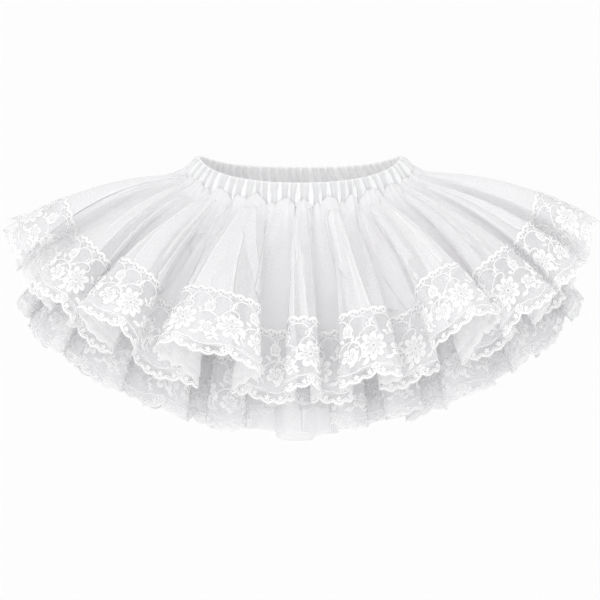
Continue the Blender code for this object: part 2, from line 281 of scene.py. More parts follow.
def foldCreases(folds, creases, head, foot, reach):
    # the same creases on each fold, with ends that stray and lengths that vary
    return [
        (fold + above + head[0] * math.sin(head[1] * fold + head[2]),
         fold + below + foot[0] * math.sin(foot[1] * fold),
         top, bottom * (1 - reach[0] + reach[0] * math.cos(reach[1] * fold)), width, height)
        for fold in folds for above, below, top, bottom, width, height in creases
    ]


outer["creases"] = outerCreases + foldCreases(
    backFolds, backCreases, (0.05, 2.4, 0), (-0.05, 1.7), (0.14, 2.1))
under["creases"] = foldCreases(
    range(len(underFolds)), underCreases, (0.07, 1.9, 1), (-0.06, 2.3), (0.12, 1.3))
inner["creases"] = foldCreases(
    range(len(innerFolds)), innerCreases, (0, 0, 0), (0.05, 2.9), (0, 0))

# pleats: the cloth is doubled over here into a flat flap, sheer enough to show its crisp edges
# the shares where each starts and ends, the turn of its root there, and the turn of its folded
# edge at the start, half-way and at the end
outerPleats = [
    (0, 0.94, 12.36, 12.4, 12.62, 12.66, 12.7), (0, 0.7, 13.12, 13.14, 12.95, 12.98, 13),
    (0.22, 0.94, 13.44, 13.46, 13.53, 13.58, 13.61), (0.08, 0.94, 13.86, 13.86, 13.64, 13.66, 13.7),
    (0.1, 0.94, 14.56, 14.6, 14.36, 14.44, 14.47), (0, 0.7, 14.84, 14.8, 14.7, 14.67, 14.63),
    (0.22, 0.8, 14.88, 14.86, 15, 14.97, 14.93), (0.3, 0.75, 14.8, 14.82, 14.88, 14.86, 14.74),
    (0, 0.36, 14.98, 14.9, 15.14, 14.93, 14.74), (0.11, 0.3, 15.2, 14.86, 15.3, 14.98, 14.72),
    (0, 0.94, 15.47, 15.55, 15.36, 15.35, 15.35), (0.2, 0.94, 15.4, 15.46, 15.52, 15.53, 15.56),
    (0, 0.62, 15.42, 15.66, 15.58, 15.62, 15.7), (0.3, 0.6, 15.24, 15.16, 15.3, 15.28, 15.2),
    (0, 0.66, 15.92, 15.84, 15.74, 15.66, 15.62), (0, 0.94, 16.28, 16.34, 16.36, 16.4, 16.46),
    (0.36, 0.72, 16.38, 16.39, 16.36, 16.33, 16.29), (0.15, 0.94, 16.42, 16.5, 16.45, 16.53, 16.65),
    (0, 0.6, 16.8, 16.84, 16.6, 16.68, 16.72), (0, 0.2, 16.62, 16.72, 16.76, 16.86, 16.92),
    (0, 0.94, 17.34, 17.38, 17.12, 17.16, 17.2), (0, 0.94, 17.33, 17.44, 17.48, 17.54, 17.65),
    (0.18, 0.52, 17.3, 17.42, 17.22, 17.32, 17.46), (0.28, 0.94, 17.28, 17.3, 17.2, 17.22, 17.26),
    (0, 0.62, 18.02, 18.06, 17.84, 17.78, 17.86), (0.1, 0.94, 18.04, 18.28, 17.84, 18.05, 18.2),
    (0, 0.5, 18.34, 18.4, 18.17, 18.16, 18.34), (0.22, 0.94, 18.28, 18.34, 18.14, 18.33, 18.43),
    (0.08, 0.94, 18.43, 18.45, 18.5, 18.51, 18.56), (0, 0.66, 18.48, 18.49, 18.72, 18.6, 18.57),
    (0, 0.94, 19.46, 19.42, 19.27, 19.26, 19.24), (0.3, 0.94, 19.43, 19.45, 19.36, 19.35, 19.39),
    (0.1, 0.94, 20.2, 20.28, 20.04, 20.12, 20.18), (0, 0.7, 19.56, 19.58, 19.74, 19.76, 19.74),
    (0, 0.7, 20.56, 20.6, 20.4, 20.42, 20.44), (0, 0.94, 21.3, 21.32, 21.5, 21.53, 21.57),
    (0, 0.94, 21.72, 21.74, 21.9, 21.9, 21.86), (0, 0.94, 0.42, 0.44, 0.6, 0.62, 0.66),
    (0.1, 0.8, 0.32, 0.3, 0.16, 0.14, 0.12),
]
backFlaps = [(0.02, 0.94, 0.56, 0.17), (0.02, 0.94, 0.44, -0.17),
             (0.14, 0.66, 0.66, -0.12), (0.1, 0.58, 0.36, 0.1)]
underFlaps = [(0.04, 0.93, 0.55, 0.2), (0.04, 0.93, 0.46, -0.18), (0.04, 0.93, 0.24, 0.12)]


def foldFlaps(folds, flaps, sway, pace, opening, shift):
    # the same flaps on each fold: start, end, root and width, opening out down the fold unevenly
    rows = []
    for fold in folds:
        for above, below, start, wide in flaps:
            root = fold + start
            middle = opening - 0.2 + 0.2 * math.sin(pace * fold)
            foot = opening + 0.3 * math.cos(1.9 * fold + shift * start)
            rows.append((above, below, root, root + sway[0] * math.sin(sway[1] * fold),
                         root + 0.4 * wide, root + middle * wide, root + foot * wide))
    return rows


outer["pleats"] = outerPleats + foldFlaps(backFolds, backFlaps, (0.02, 2), 1.3, 1, 0)
under["pleats"] = foldFlaps(range(len(underFolds)), underFlaps, (0.03, 1.7), 2.3, 1.1, 1)
inner["pleats"] = [
    (0.1, 0.955, fold + 0.42, fold + 0.4, fold + 0.5, fold + 0.56,
     fold + 0.6 + 0.03 * math.sin(2.3 * fold)) for fold in range(len(innerFolds))
]
# flaps of the inner layer that stretch straight across the hollows
inner["bridges"] = [
    (0.02, 0.997, fold + 0.66, fold + 0.64, fold + 0.9, fold + 1.14,
     fold + 1.22 + 0.08 * math.sin(1.7 * fold)) for fold in range(len(innerFolds))
]
for layer in (outer, under, inner):
    makeRuler(layer)


def smooth(value):
    value = np.clip(value, 0, 1)
    return value * value * (3 - 2 * value)


# where the gathered cloth leaves the seam, it rolls up over the band's lower edge in round heads
heads = {
    "rollUp": 0.0095, "turnsAt": 0.0012, "overBand": 0.0042, "overFades": 0.012,
    "puff": 0.0034, "puffGrows": 0.0009, "fadeFrom": 0.006, "fade": 0.055, "pinch": 0.12,
    "roundness": 0.55, "pitch": 10.5, "count": 20, "first": 349,
}
# direction and half width in degrees, and size
headsAt = [
    (208, 5, 0.6), (219, 5.8, 0.72), (226.8, 2.4, 0.5), (237, 6.4, 0.92), (247.4, 3.9, 0.78),
    (254.3, 4.3, 1.05), (259.9, 1.7, 0.48), (264.9, 3.5, 0.98), (271.4, 2.9, 0.82), (275.9, 1.5, 0.56),
    (280.2, 3.5, 1.02), (284.9, 1.4, 0.42), (288.8, 3, 0.96), (298.3, 6.2, 1.06), (311.8, 7.2, 0.92),
    (326, 6.6, 0.74), (337.6, 4.6, 0.6),
]
headsAt += [
    ((heads["first"] + heads["pitch"] * index) % 360, 5 + 1.2 * math.sin(2.3 * index),
     (0.52 + 0.4 * math.sin(math.pi * index / heads["count"])) * (1 + 0.16 * math.sin(1.7 * index)))
    for index in range(heads["count"])
]


def headShape(direction):
    # round heads with the cloth pinched in between them
    degrees = np.degrees(direction)
    shape = np.zeros_like(degrees)
    for middle, half, size in headsAt:
        away = (degrees - middle + 180) % 360 - 180
        bulge = np.clip(1 - (away / half) ** 2, 0, 1) ** heads["roundness"]
        shape = np.maximum(shape, size * bulge)
    return shape


def waves(angle, rows):
    # each row: how high the wave is, how often it comes in one turn, and where it starts
    return sum(size * np.sin(often * angle + start) for size, often, start in rows)


def bandFrame(direction):
    # the band's slope, the way out of its face and the way up along it
    slope = np.radians(roundBlend(band["slope"], direction))
    level, steep = np.cos(slope), np.sin(slope)
    across, along = np.cos(direction), np.sin(direction)
    return (slope, np.stack([across * steep, along * steep, level], axis=-1),
            np.stack([-across * level, -along * level, steep], axis=-1))


ripple = {
    "fine": 5, "fineLean": 1.5, "fineFade": 0.04, "fineClose": 0.3,  # gathers below the seam
    "fineWander": ((0.9, 0.85, 0.6), (0.7, 0.31, 2)),
    "slow": 0.0006, "slowFrom": 0.3,  # all over the cloth
    "edgeClose": 0.7, "edgeWidth": 0.035, "edgeOver": 0.2,  # where sides turn under
    "hollowFrom": 0.58, "hollowOver": (0.2, 0.3), "below": 0.1,  # down in the hollows
    "laceOver": 0.06,  # where the lace begins
}
creaseForm = {
    "narrow": 0.65, "widens": 0.8, "early": 0.02, "startOver": 0.06, "endOver": 0.22,
    "crispness": 1.3, "close": 1.3, "closeWidth": 0.4, "closeMost": 1.4,
}


def relief(layer, turn, place, share, distance):
    # how far the cloth stands out of its layer's form, and how much closer its net lies there
    folds, count = layer["folds"], layer["count"]
    stand = np.zeros_like(turn + share)
    close = np.zeros_like(stand)
    circle = math.tau * turn
    wander = waves(circle, ripple["fineWander"])
    gathers = np.cos(ripple["fine"] * circle + wander + ripple["fineLean"] * share)
    fade = np.exp(-distance / ripple["fineFade"])
    stand += layer["gather"] * gathers * fade
    close += ripple["fineClose"] * np.clip(gathers, 0, 1) * fade
    slow = np.sin(3 * circle + 5 * share + 0.7) * np.sin(7 * share + 0.37 * circle)
    stand += ripple["slow"] * slow * smooth(share / ripple["slowFrom"])
    # the folds' own edges, where their sides turn under
    phase = 2 * (place - np.floor(place)) - 1
    fold = np.floor(place).astype(int) % count
    curl = folds["curl"][np.where(phase < 0, (fold - 1) % count, fold)]
    swing = np.maximum(4 * math.pi * curl * np.sqrt(share), 1e-6)
    edgeAt = np.arccos(np.clip(-1 / swing, -1, 1)) / math.tau
    edge = np.exp(-((np.abs(phase) - edgeAt) / ripple["edgeWidth"]) ** 2)
    close += ripple["edgeClose"] * edge * smooth((share - ripple["below"]) / ripple["edgeOver"])
    # the net is sheerer behind the lace
    overLace = share - 1 + layer["laced"] / layer["length"]
    close -= layer["sheer"] * smooth(overLace / ripple["laceOver"])
    # the net is denser at the bottom of each hollow, where the cloth crowds together, and so whiter
    # there: partly that crowding, partly painted light that lifts the hollows' shade
    sideways, downwards = ripple["hollowOver"]
    close += (smooth((np.abs(phase) - ripple["hollowFrom"]) / sideways)
              * smooth((share - ripple["below"]) / downwards))
    for turnAbove, turnBelow, above, below, width, height in layer["creases"]:
        along = np.clip((share - above) / (below - above), 0, 1)
        middle = mix(turnAbove, turnBelow, along)
        away = (turn - middle + count / 2) % count - count / 2
        spread = width * mm * (creaseForm["narrow"] + creaseForm["widens"] * share)
        across = np.abs(away) * turnLength(layer, middle, share) / spread
        ends = (smooth((share - above + creaseForm["early"]) / creaseForm["startOver"])
                * smooth((below - share) / creaseForm["endOver"]))
        stand += height * mm * np.exp(-across ** creaseForm["crispness"]) * ends
        thick = creaseForm["close"] * np.exp(-(across / creaseForm["closeWidth"]) ** 2)
        close += thick * ends * np.clip(height, 0, creaseForm["closeMost"])
    return stand, close


def onLayer(layer, turn, share, proud):
    place = placeOf(layer, turn)
    point, distance, direction = hangPoint(layer, place, share)
    stand, close = relief(layer, turn, place, share, distance)
    if layer["heads"]:
        shape = headShape(direction)
        grown = 1 - np.exp(-distance / heads["puffGrows"])
        left = np.clip(1 - (distance - heads["fadeFrom"]) / heads["fade"], 0, 1)
        stand += heads["puff"] * (shape - heads["pinch"]) * grown * left ** 2
        outward, upward = bandFrame(direction)[1:]
        early = distance / heads["turnsAt"]
        roll = heads["rollUp"] * shape * early * np.exp(1 - early)
        over = heads["overBand"] * shape * grown * np.exp(-distance / heads["overFades"])
        point = point + upward * roll[..., None] + outward * over[..., None]
    normal = layerNormal(layer, turn, share)
    return point + normal * (stand + proud)[..., None], close, distance


# mesh helpers
def addObject(name, data):
    made = bpy.data.objects.new(name, data)
    bpy.context.scene.collection.objects.link(made)
    return made


def clothPiece(name, points, faces, held, values, across, along, period):
    # held names the values that the material reads; across and along are places on the flat cloth
    data = bpy.data.meshes.new(name)
    data.from_pydata([tuple(point) for point in points], [], faces)
    data.update()
    data.shade_smooth()
    kept = data.attributes.new(held, "FLOAT", "POINT")
    kept.data.foreach_set("value", np.asarray(values, dtype=np.float32))
    corners = np.zeros(len(data.loops), dtype=np.int64)
    data.loops.foreach_get("vertex_index", corners)
    # every face has four corners; one that crosses the ring's end takes its place past the end
    u, v = (places[corners].reshape(-1, 4) for places in (across, along))
    u = np.where(u.max(axis=1, keepdims=True) - u > period / 2, u + period, u)
    uv = data.uv_layers.new(name="cloth")
    uv.data.foreach_set("uv", np.stack([u, v], axis=-1).astype(np.float32).ravel())
    return addObject(name, data)


def rowFaces(rows, columns, first=0, closed=True):
    faces = []
    for row in range(rows - 1):
        upper, lower = first + row * columns, first + (row + 1) * columns
        for column in range(columns if closed else columns - 1):
            after = (column + 1) % columns
            faces.append((upper + column, lower + column, lower + after, upper + after))
    return faces


def dress(piece, material, node):
    piece.data.materials.append(material)
    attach(piece, "root")
    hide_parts(node)


# materials
class Wire:
    # one socket of a material, so that sums on it read as arithmetic
    def __init__(self, finish, socket):
        self.finish = finish
        self.socket = socket

    def maths(self, operation, first, second):
        return self.finish.node("ShaderNodeMath", {"operation": operation}, {0: first, 1: second})

    def __add__(self, other):
        return self.maths("ADD", self, other)

    __radd__ = __add__

    def __sub__(self, other):
        return self.maths("SUBTRACT", self, other)

    def __rsub__(self, other):
        return self.maths("SUBTRACT", other, self)

    def __mul__(self, other):
        return self.maths("MULTIPLY", self, other)

    __rmul__ = __mul__


class Finish:
    def __init__(self, name):
        self.material = bpy.data.materials.new(name)
        self.material.use_nodes = True
        self.tree = self.material.node_tree
        self.tree.nodes.clear()

    def node(self, kind, settings, values, output=0):
        made = self.tree.nodes.new(kind)
        for name, value in settings.items():
            setattr(made, name, value)
        for name, value in values.items():
            if isinstance(value, Wire):
                self.tree.links.new(value.socket, made.inputs[name])
            else:
                made.inputs[name].default_value = value
        return Wire(self, made.outputs[output])

    def uv(self):
        return self.node("ShaderNodeUVMap", {"uv_map": "cloth"}, {})

    def held(self, name):
        return self.node("ShaderNodeAttribute", {"attribute_name": name}, {}, 2)

    def noise(self, uv, values):
        return self.node("ShaderNodeTexNoise", {"noise_dimensions": "2D"}, {"Vector": uv, **values})

    def bump(self, height, strength, depth):
        return self.node("ShaderNodeBump", {},
                         {"Height": height, "Strength": strength, "Distance": depth})

    def total(self, first, second):
        return self.node("ShaderNodeMath", {"operation": "ADD", "use_clamp": True},
                         {0: first, 1: second})

    def done(self, shader):
        shown = self.tree.nodes.new("ShaderNodeOutputMaterial")
        self.tree.links.new(shader.socket, shown.inputs["Surface"])
        return self.material


def netThreads(finish, uv, hole):
    # three sets of parallel threads, 60 degrees apart, as in a hexagonal net
    total = None
    for angle in (0, 60, 120):
        turned = finish.node("ShaderNodeMapping", {}, {
            "Vector": uv, "Rotation": (0, 0, math.radians(angle)),
            "Scale": (1 / hole, 1 / hole, 1)})
        x = finish.node("ShaderNodeSeparateXYZ", {}, {0: turned})
        wave = finish.node("ShaderNodeMath", {"operation": "SINE"}, {0: x * math.tau})
        total = wave if total is None else total + wave
    return finish.node("ShaderNodeMath", {"operation": "MULTIPLY_ADD", "use_clamp": True},
                       {0: total, 1: 0.25, 2: 0.5})


def thinCloth(finish, colour, through, alpha, front, behind):
    # some light comes through the threads, and alpha says how close they lie
    lit = finish.node("ShaderNodeBsdfPrincipled", {},
                      {"Base Color": (*colour, 1), "Sheen Roughness": 0.5, **front})
    glow = finish.node("ShaderNodeBsdfTranslucent", {}, {"Color": (*colour, 1), **behind})
    cloth = finish.node("ShaderNodeMixShader", {}, {0: through, 1: lit, 2: glow})
    clear = finish.node("ShaderNodeBsdfTransparent", {}, {})
    return finish.done(finish.node("ShaderNodeMixShader", {}, {0: alpha, 1: clear, 2: cloth}))


# how far each of these thickens a net
netForm = {"grain": 0.2, "clouds": 0.12, "threads": 0.07, "closer": 0.34}


def tulle(name, colour, opacity, hole, through):
    finish = Finish(name)
    uv = finish.uv()
    close = finish.held("close")
    grain = finish.noise(uv, {"Scale": 420, "Detail": 2, "Roughness": 0.6})
    clouds = finish.noise(uv, {"Scale": 24, "Detail": 3})
    threads = netThreads(finish, uv, hole)
    dense = ((grain - 0.5) * netForm["grain"] + (clouds - 0.5) * netForm["clouds"]
             + (threads - 0.5) * netForm["threads"])
    alpha = finish.total(dense + close * netForm["closer"], opacity)
    bump = finish.bump(grain, 0.15, 0.0004)
    front = {"Roughness": 0.75, "Normal": bump, "Sheen Weight": 0.25, "Specular IOR Level": 0.2}
    return thinCloth(finish, colour, through, alpha, front, {"Normal": bump})


def laceThread(name, colour, through):
    finish = Finish(name)
    twist = finish.noise(finish.uv(), {"Scale": 900, "Detail": 2})
    alpha = finish.total((twist - 0.5) * 0.2, finish.held("solid"))
    front = {"Roughness": 0.6, "Normal": finish.bump(twist, 0.3, 0.0003), "Sheen Weight": 0.2,
             "Specular IOR Level": 0.3}
    return thinCloth(finish, colour, through, alpha, front, {})


def bandCloth(name, ridge, hollow):
    finish = Finish(name)
    uv = finish.uv()
    weave = netThreads(finish, uv, 0.0006)
    soft = finish.noise(uv, {"Scale": 160, "Detail": 3})
    bump = finish.bump(weave * 0.4 + soft, 0.2, 0.0004)
    # painted light and shade: the darker hollow colour is painted shade in the gathers' hollows, the
    # lighter ridge colour is painted light on the ridges
    part = finish.total(finish.held("paintedLight"), (soft - 0.5) * 0.3)
    shade = finish.node("ShaderNodeMix", {"data_type": "RGBA"},
                        {0: part, 6: (*hollow, 1), 7: (*ridge, 1)}, 2)
    return finish.done(finish.node(
        "ShaderNodeBsdfPrincipled", {},
        {"Base Color": shade, "Roughness": soft * 0.2 + 0.45, "Normal": bump, "Sheen Weight": 0.3,
         "Sheen Roughness": 0.4, "Specular IOR Level": 0.4}))


# the band's cloth is white; its second, darker colour is painted shade for the hollows between the
# gathers
bandFinish = bandCloth("band_cloth", (0.93, 0.93, 0.935), (0.66, 0.665, 0.675))
outerNet = tulle("outer_net", (0.975, 0.971, 0.978), 0.64, 0.0011, 0.42)
underNet = tulle("under_net", (0.955, 0.952, 0.958), 0.6, 0.0011, 0.52)
innerNet = tulle("inner_net", (0.96, 0.957, 0.963), 0.66, 0.0011, 0.54)
# the under layer's lace takes darker copies of the lace's net and thread colours: painted shade
outerGround = tulle("lace_net", (0.91, 0.91, 0.92), 0.34, 0.0008, 0.35)
underGroundPaintedShade = tulle("under_lace_net", (0.86, 0.865, 0.875), 0.54, 0.0008, 0.4)
outerCord = laceThread("lace_thread", (0.98, 0.98, 0.98), 0.2)
underCordPaintedShade = laceThread("under_thread_painted_shade", (0.9, 0.9, 0.905), 0.25)
print("materials made")


# waistband: a casing gathered on its elastic into narrow ridges that swell below their middle
gatherForm = {
    "wander": ((0.16, 7, 1.3), (0.12, 19, 0.4)), "sway": ((0.14, 11, 0.8), (0.084, 5, 2)),
    "insideLean": 0.45, "insideShift": 0.37,
    "atTop": 0.05, "swell": 0.12, "swellUneven": 0.35, "swellLow": 1.4, "softEdge": 0.13,
    "groove": 0.34, "grooveWidth": 0.42, "sizeUneven": 0.15,
    "between": 0.1, "betweenFrom": 0.3, "sunk": 0.3, "crown": 0.0006, "inset": 0.0003,
    "rim": 0.08, "rimOver": 1.6, "heldAtRim": 0.3,
    # painted light and shade on the band: its least and its range outside and inside, how much the
    # grooves darken, and how much the wrinkles between and the rims lighten
    "paintedLightOutside": (0.22, 0.74), "paintedLightInside": (0.8, 0.3), "paintedLightGroove": 0.9, "paintedLightBetween": 1.6,
    "paintedLightRim": 0.5, "roundWaist": 0.58,
}
spinAngles = np.linspace(0, math.tau, 2001)
spinLengths = runningLength(waistPoint(spinAngles, 0, 0))


def bandPoint(spin, height, side):
    # spin goes once round from 0 to 1; height from 0 at the top edge to 1 at the seam
    form = gatherForm
    direction = np.interp(spin % 1, spinLengths / spinLengths[-1], spinAngles)
    slope, outward = bandFrame(direction)[:2]
    distance = height * roundBlend(band["height"], direction)
    middle = waistPoint(direction, distance * np.cos(slope), distance * np.sin(slope))
    turned = math.tau * spin
    sway = waves(turned, form["sway"]) + (0 if side > 0 else form["insideLean"])
    place = band["gathers"] * spin + waves(turned, form["wander"]) + sway * (height - 0.5)
    place = place + (0 if side > 0 else form["insideShift"])
    ridge = np.round(place)  # its number makes each ridge a little unlike the next
    apart = np.abs(place - ridge)
    tall = np.clip(height, 0, 1)
    swell = form["swell"] * (1 + form["swellUneven"] * np.sin(2.4 * ridge))
    wide = form["atTop"] + swell * np.sin(math.pi * tall ** form["swellLow"])
    raised = smooth((wide + form["softEdge"] - apart) / form["softEdge"])
    groove = np.exp(-(apart / (form["grooveWidth"] * wide)) ** 2)
    groove = form["groove"] * groove * np.sin(math.pi * tall)
    size = 1 - form["sizeUneven"] + form["sizeUneven"] * np.sin(3.7 * ridge + 1)
    between = np.cos(math.tau * (apart - 0.5) / form["betweenFrom"])
    between = form["between"] * between * smooth((apart - form["betweenFrom"]) / 0.1)
    profile = raised * (1 - groove) * size + between - form["sunk"]
    rim, edge = form["rim"], form["rimOver"] * form["rim"]
    held = smooth((tall - rim / 2) / edge) * smooth((1 - tall) / edge)
    held = mix(form["heldAtRim"], 1, held)
    stand = band["halfThickness"] - form["inset"] + form["crown"] * np.sin(math.pi * tall)
    stand = stand + (band["gatherOutside"] if side > 0 else band["gatherInside"]) * profile * held
    rounding = np.clip(np.minimum(tall, 1 - tall) / rim, 0, 1)
    stand = stand * np.sqrt(1 - (1 - rounding) ** 2)
    # painted light and shade: lighter on the ridges, the small wrinkles between them, the rounded rims
    # and all over inside; darker in the grooves and hollows
    paintedLight = raised * (1 - form["paintedLightGroove"] * groove) + form["paintedLightBetween"] * between
    least, more = form["paintedLightOutside"] if side > 0 else form["paintedLightInside"]
    paintedLight = least + more * paintedLight * (size if side > 0 else 1) + form["paintedLightRim"] * (1 - rounding)
    return middle + side * outward * stand[..., None], np.clip(paintedLight, 0, 1)


def makeBand():
    columns = band["gathers"] * band["columnsPerGather"]
    spin = np.arange(columns) / columns
    outside = 0.5 - 0.5 * np.cos(np.linspace(0, math.pi, band["rowsOutside"]))
    inside = 0.5 + 0.5 * np.cos(np.linspace(0, math.pi, band["rowsInside"]))
    heights = [(height, 1) for height in outside] + [(height, -1) for height in inside[1:-1]]
    rows = [bandPoint(spin, np.full(columns, height), side) for height, side in heights]
    faces = rowFaces(len(rows), columns)
    last = (len(rows) - 1) * columns
    faces += [(last + c, c, (c + 1) % columns, last + (c + 1) % columns) for c in range(columns)]
    points, paintedLight = (np.concatenate(parts) for parts in zip(*rows))
    down = np.cumsum([0] + [abs(b[0] - a[0]) for a, b in zip(heights, heights[1:])])
    whole = gatherForm["roundWaist"]
    piece = clothPiece("band_gathered", points, faces, "paintedLight", paintedLight, np.tile(spin * whole, len(rows)),
                       np.repeat(down, columns) * band["height"][1], whole)
    dress(piece, bandFinish, "waistband")


makeBand()
print("waistband made")


# tulle layers
flapForm = {
    # over and back: shares of the flap's width, mm it stands off its layer, how much closer it looks
    "across": (0, 0.12, 0.24, 0.36, 0.48, 0.6, 0.72, 0.83, 0.91, 0.96, 1, 0.96, 0.76, 0.55),
    "proud": (0.12, 0.4, 0.52, 0.58, 0.6, 0.62, 0.64, 0.64, 0.62, 0.56, 0.44, 0.32, 0.26, 0.2),
    "close": (0, 0, 0, 0, 0, 0, 0, 0, 0.4, 1.2, 1.9, 1.2, 0.2, 0),
    "step": 0.008, "fewestRows": 8, "behind": 0.994,
    "opens": (0.03, 0.12), "closes": 0.1, "closesAbove": 0.9,
}
layerForm = {
    "crowding": 1.9,  # rows lie closer together near the seam
    "seamClose": ((0.9, 0.01), (0.4, 0.04)),  # how much closer the net is, and how far down
    "hemRows": (-0.8, -0.3, 0, 0.3, 0.8, 4, 7.6),  # mm from the row of stitches
    "rowApart": 0.004, "hemProud": (-0.3, -0.6), "stitchClose": 1.5,
}


def flapMesh(layer, first):
    # flat flaps of the layer's own cloth, each over and back again
    turns, shares, prouds, edges, straight, faces = [], [], [], [], [], []
    across = np.array(flapForm["across"])
    wide = len(across)
    early, opens = flapForm["opens"]
    flaps = [(*row, False) for row in layer["pleats"]]
    flaps += [(*row, True) for row in layer.get("bridges", [])]
    for above, below, rootAbove, rootBelow, edgeAbove, edgeMiddle, edgeBelow, bridge in flaps:
        count = max(flapForm["fewestRows"], round((below - above) * layer["length"] / flapForm["step"]))
        down = np.linspace(0, 1, count + 1)[:, None]
        share, root = mix(above, below, down), mix(rootAbove, rootBelow, down)
        edge = mix(edgeAbove, edgeBelow, down)
        edge = edge + 4 * down * (1 - down) * (edgeMiddle - (edgeAbove + edgeBelow) / 2)
        taper = smooth((down + early) / opens)
        if below < flapForm["closesAbove"]:
            taper = taper * smooth((1 - down) / flapForm["closes"] + flapForm["closes"])
        faces += rowFaces(count + 1, wide, first + sum(len(rows) for rows in turns) * wide, False)
        if edgeBelow < rootBelow:
            faces[-count * (wide - 1):] = [face[::-1] for face in faces[-count * (wide - 1):]]
        turns.append(root + across * (edge - root) * taper)
        shares.append(share + 0 * across)
        prouds.append(np.array(flapForm["proud"]) * mm + 0 * share)
        edges.append(np.array(flapForm["close"]) + 0 * share)
        straight.append(np.full(count + 1, bridge))
    turns, shares, prouds, edges = (
        np.concatenate(rows).ravel() for rows in (turns, shares, prouds, edges))
    points, close, along = onLayer(layer, turns, shares, prouds)
    rows = points.reshape(-1, wide, 3)
    edgeAt = int(np.argmax(across))
    level = mix(rows[:, :1], rows[:, edgeAt:edgeAt + 1], across[:, None])
    level[:, edgeAt + 1:] *= flapForm["behind"]
    points = np.where(np.concatenate(straight)[:, None, None], level, rows).reshape(-1, 3)
    return points, close + edges, turns, along, faces


def makeLayer(layer, net, flat):
    columns = layer["count"] * layer["columns"]
    turn = np.arange(columns) / layer["columns"]
    lowest = 1 - layer["cutAbove"] / layer["length"]
    steps = np.linspace(0, 1, layer["rows"])
    shares = [(lowest * step ** layerForm["crowding"], 0) for step in steps]
    if layer["turnedUp"]:
        seam = lowest - layer["turnedUp"] / layer["length"]
        shares = [row for row in shares if row[0] < seam - layerForm["rowApart"]]
        shares += [(seam + step * mm / layer["length"], 0) for step in layerForm["hemRows"]]
        fold, behind = layerForm["hemProud"]
        shares += [(lowest, fold * mm), (lowest - 0.001, behind * mm), (seam, behind * mm)]
    points, closeness, along = [], [], []
    for share, proud in shares:
        place, close, distance = onLayer(layer, turn, np.full(columns, share), np.full(columns, proud))
        points.append(place)
        for more, reach in layerForm["seamClose"]:
            close = close + more * np.exp(-distance / reach)
        if layer["turnedUp"] and abs(share - seam) < 1e-6 and not proud:
            close = close + layerForm["stitchClose"]
        closeness.append(close)
        along.append(distance)
    flaps = flapMesh(layer, len(points) * columns)
    turns = np.concatenate([np.tile(turn, len(points)), flaps[2]])
    piece = clothPiece(
        layer["name"] + "_cloth", np.concatenate([*points, flaps[0]]),
        rowFaces(len(points), columns) + flaps[4], "close", np.concatenate([*closeness, flaps[1]]),
        turns / layer["count"] * flat[0], np.concatenate([*along, flaps[3]]), flat[0])
    dress(piece, net, layer["name"])


makeLayer(outer, outerNet, (3.744, 0.188))
makeLayer(under, underNet, (2.784, 0.214))
makeLayer(inner, innerNet, (2.2, 0.239))
print("tulle layers made")

# lace trim, drawn flat in mm: u along the hem, v up from it
lace = {
    "width": 73,
    "repeat": 96,
    "bowl": 48, "bowlDepth": 5,  # the hem's large scallops
    "scallop": 12, "scallopDepth": 2.6,  # the small ones along them
    "topDepth": 2.8, "swag": 24,
    "border": (10.6, 6.5, 1.15, 2),  # height, size and sharpness of its arches, size of its swags
    "netRows": 13, "netColumns": 8,  # columns for each small scallop
    "netProud": 0.0009, "threadProud": 0.0011,
    "tiny": 3, "measuredAt": 30,
    "columns": (9, 64),  # of a cord, for each small scallop and for each repeat
    # how far above its edge each cord runs, and its width and height
    "hemCord": (0.9, 2, 0.5), "innerCord": (3, 0.7, 0.25), "line": (0, 1.1, 0.45),
    "topCord": (-1.9, 2.9, 0.45), "stem": (1.4, 0.35),
    # how far in from the edge these are, and their size and width
    "ring": (5.2, 2.3, 1.2), "floret": (5.8, 2.7, 2), "topLeaf": (7.6, 3.2, 1.5),
    "picot": (0.4, 1.4, 0.8), "picotPitch": 2.4, "topLeafAside": 2.4,
    "swagLeaf": (60, -95, 8, 3.2),  # v, angle, length and width
}
# the swags' line under the top edge, with its curl
swagLine = [(4, 55), (2, 58), (3, 61.5), (7, 64), (12.5, 64.5), (18, 63.5),
            (22, 60.5), (23.5, 56), (21.5, 53), (19.5, 55), (21, 57.5)]
petalForm = {
    "along": (0, 0.22, 0.45, 0.66, 0.83, 0.94, 1), "across": (-1, -0.7, 0, 0.7, 1),
    "foot": 0.16, "widestAt": 0.62, "tip": 0.4,
    "rim": (0.1, 0.8, 0.5),  # below, above and aside of these it is raised thread
    "rimHigh": 0.4, "middleHigh": 0.12, "lap": 0.12, "uneven": 0.08, "footSolid": 0.5,
    "eye": (1.3, 9, 0.5), "eyeCovers": 0.8,  # width, sides and height of its ring
}
leafForm = {"foot": 0.1, "ridge": 0.3, "solid": 0.95, "span": (0.94, 0.03)}
# u, v, first petal's angle, petals, petal length, petal width, eye, how solid its middle is
laceFlowers = [
    (0, 33.5, 84, 8, 13.4, 6.8, 1.9, 0.84), (48, 35, 90, 7, 13.8, 7.8, 2, 0.8),
    (24.5, 28, 70, 5, 8, 6.2, 1.2, 0.85), (73, 27.5, 60, 5, 8.5, 6.6, 1.2, 0.85),
    (23, 50.5, 90, 5, 6.4, 6, 1, 0.97), (71.5, 51.5, 85, 5, 6.4, 6, 1, 0.97),
    (0, 12.2, 90, 5, 4.2, 3.8, 0.9, 0.95), (48, 12.2, 90, 5, 4.2, 3.8, 0.9, 0.95),
]
# stems, each through listed points
laceStems = [
    [(-19, 22), (-25, 29), (-24, 37), (-18, 41), (-13, 38), (-15, 34), (-18, 36)],
    [(14, 42), (20, 45), (28, 44), (34, 39), (35, 31), (31, 24), (25, 19)],
    [(62, 19), (58, 25), (60, 33), (66, 39), (74, 41), (82, 37), (85, 29), (81, 21)],
    [(31, 38), (36, 42), (41, 49), (48, 52), (54, 50), (55, 46), (52, 45)],
    [(-14, 44), (-8, 50), (0, 53), (5, 51), (5, 47), (2, 46)],
]
